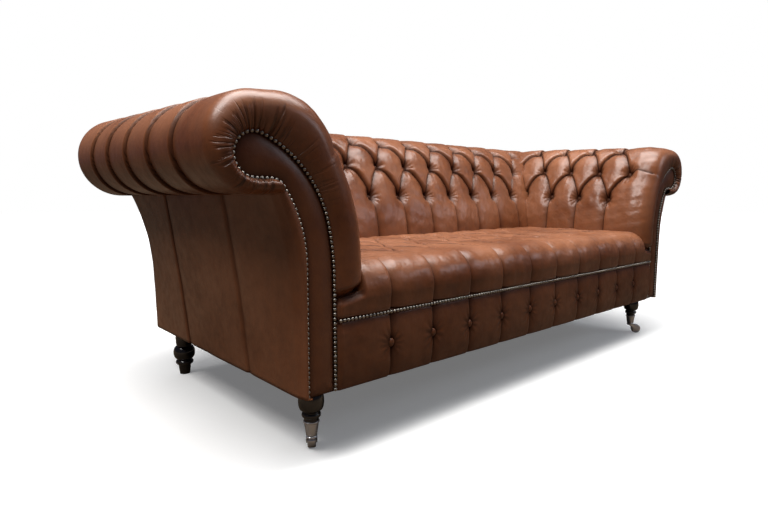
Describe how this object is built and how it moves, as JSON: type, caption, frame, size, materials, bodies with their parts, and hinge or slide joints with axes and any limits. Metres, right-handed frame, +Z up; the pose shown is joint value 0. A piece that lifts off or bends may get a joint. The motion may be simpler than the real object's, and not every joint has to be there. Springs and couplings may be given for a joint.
{
  "type": "chesterfield sofa",
  "caption": "Long low leather sofa with rolled arms and back, deep-buttoned throughout, nailed scroll fronts, turned legs and front castors.",
  "frame": {"origin": "on the floor under the middle of the whole sofa", "axes": "+X runs along the sofa's length, the seat faces -Y and +Z is up"},
  "size_m": [2.15, 1.043, 0.812],
  "materials": {
    "leather": "antique finish with a soft sheen",
    "frame_timber": "planed beech",
    "upholstery_board": "bare board",
    "foam": "upholstery foam",
    "webbing": "jute",
    "base_cloth": "black non-woven cloth",
    "leg_wood": "dark polish",
    "chrome": "polished",
    "steel": "zinc plated"
  },
  "bodies": {
    "sofa": {"front_rail": "frame_timber", "back_rail": "frame_timber", "rear_seat_rail": "frame_timber", "side_rail_left": "frame_timber", "side_rail_right": "frame_timber", "base_stretchers": "frame_timber", "corner_blocks": "frame_timber", "border_board": "frame_timber", "back_top_rail": "frame_timber", "back_rib_1": "frame_timber", "back_rib_2": "frame_timber", "back_rib_3": "frame_timber", "back_rib_4": "frame_timber", "leg_bolts": "steel", "dust_cover": "base_cloth", "seat_webbing": "webbing", "seat_hessian": "webbing", "seat_foam": "foam", "seat_cover": "leather", "front_border": "leather", "back_lining": "upholstery_board", "back_pad": "foam", "back_cover": "leather", "outside_back_cover": "leather", "back_buttons": "leather", "seat_buttons": "leather", "border_buttons": "leather", "arm_front_board_left": "frame_timber", "arm_rear_board_left": "frame_timber", "arm_top_rail_left": "frame_timber", "arm_tack_rail_left": "frame_timber", "arm_lining_left": "upholstery_board", "arm_pad_left": "foam", "arm_cover_left": "leather", "outside_arm_cover_left": "leather", "scroll_facing_left": "leather", "arm_buttons_left": "leather", "front_leg_left": "leg_wood", "castor_cup_left": "chrome", "rear_leg_left": "leg_wood", "arm_front_board_right": "frame_timber", "arm_rear_board_right": "frame_timber", "arm_top_rail_right": "frame_timber", "arm_tack_rail_right": "frame_timber", "arm_lining_right": "upholstery_board", "arm_pad_right": "foam", "arm_cover_right": "leather", "outside_arm_cover_right": "leather", "scroll_facing_right": "leather", "arm_buttons_right": "leather", "front_leg_right": "leg_wood", "castor_cup_right": "chrome", "rear_leg_right": "leg_wood"},
    "castor_swivel_left": {"castor_fork_left": "chrome", "castor_axle_left": "chrome"},
    "castor_roller_left": {"castor_wheel_left": "chrome"},
    "castor_swivel_right": {"castor_fork_right": "chrome", "castor_axle_right": "chrome"},
    "castor_roller_right": {"castor_wheel_right": "chrome"}
  },
  "joints": [
    {"name": "castor_swivel_joint_left", "type": "hinge", "parent": "sofa", "child": "castor_swivel_left", "pos_m": [-0.818, -0.4315, 0.04], "axis": [0, 0, 1], "continuous": true},
    {"name": "castor_wheel_joint_left", "type": "hinge", "parent": "castor_swivel_left", "child": "castor_roller_left", "pos_m": [-0.80458, -0.4116, 0.018], "axis": [-0.829, 0.5592, 0], "continuous": true},
    {"name": "castor_swivel_joint_right", "type": "hinge", "parent": "sofa", "child": "castor_swivel_right", "pos_m": [0.818, -0.4315, 0.04], "axis": [0, 0, 1], "continuous": true},
    {"name": "castor_wheel_joint_right", "type": "hinge", "parent": "castor_swivel_right", "child": "castor_roller_right", "pos_m": [0.83592, -0.44747, 0.018], "axis": [0.6652, 0.7466, 0], "continuous": true}
  ]
}
